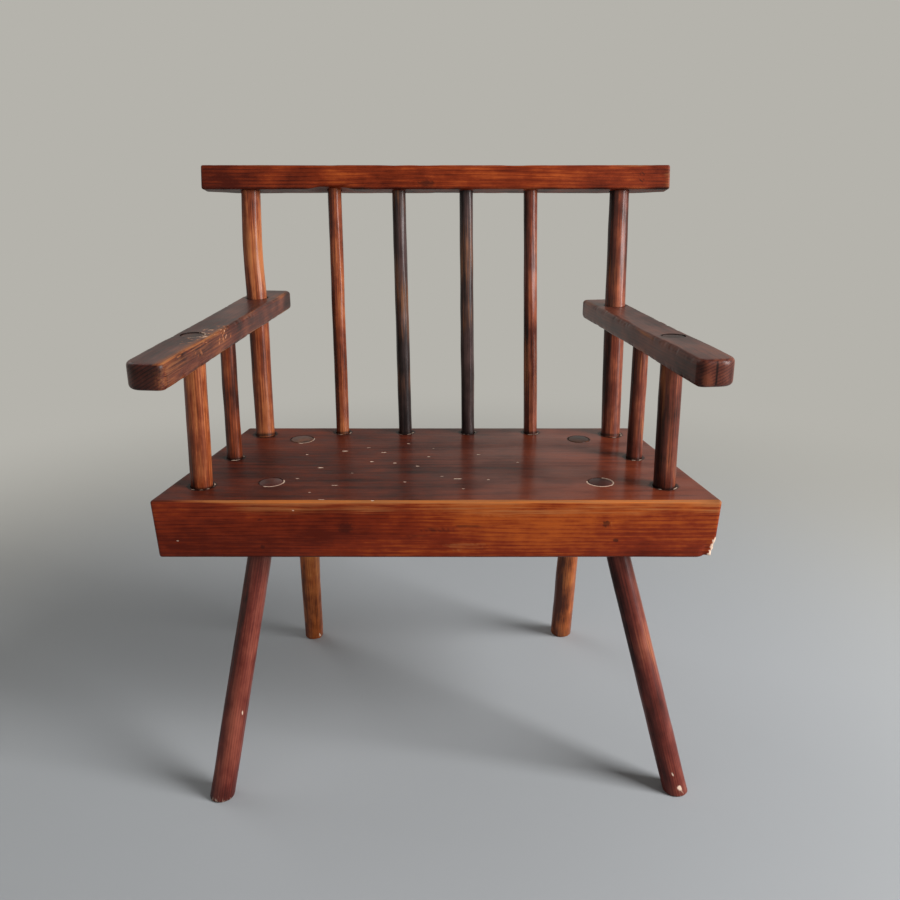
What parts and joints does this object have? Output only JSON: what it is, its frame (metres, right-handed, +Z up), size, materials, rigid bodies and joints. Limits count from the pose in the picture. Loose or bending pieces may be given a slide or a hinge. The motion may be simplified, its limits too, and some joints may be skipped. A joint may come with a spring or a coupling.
{
  "type": "low wooden stick armchair",
  "caption": "Low wooden armchair with a thick plank seat, splayed round legs, board arms and a back of upright round sticks under a plain crest rail.",
  "frame": {"origin": "on the floor under the middle of the chair's bounding box", "axes": "+X to the right as seen from in front of the chair, +Y to the back, +Z up; the sitter faces -Y"},
  "size_m": [0.6904, 0.4988, 0.7809],
  "materials": {
    "seat_wood": "dark red-brown varnish, worn lighter along the front edge, with small chips and dents",
    "leg_wood": "dark red-brown varnish over hand-shaved wood, scuffed at the feet",
    "post_wood": "streaky orange-brown varnish over hand-shaved wood",
    "dark_spindle_wood": "smooth, almost black purple-brown varnish",
    "arm_wood": "dark brown varnish, worn through to orange wood on the inner edges, chipped",
    "rail_wood": "satin red-brown varnish with chips along the lower edge"
  },
  "bodies": {
    "root": {"seat": "seat_wood", "leg_front_left": "leg_wood", "leg_front_right": "leg_wood", "leg_back_left": "post_wood", "leg_back_right": "post_wood", "arm_post_left": "post_wood", "arm_post_right": "post_wood", "arm_stick_left": "post_wood", "arm_stick_right": "post_wood", "arm_left": "arm_wood", "arm_right": "arm_wood", "back_post_left": "post_wood", "back_post_right": "post_wood", "back_spindle_1": "post_wood", "back_spindle_2": "dark_spindle_wood", "back_spindle_3": "dark_spindle_wood", "back_spindle_4": "post_wood", "crest_rail": "rail_wood"}
  },
  "joints": []
}
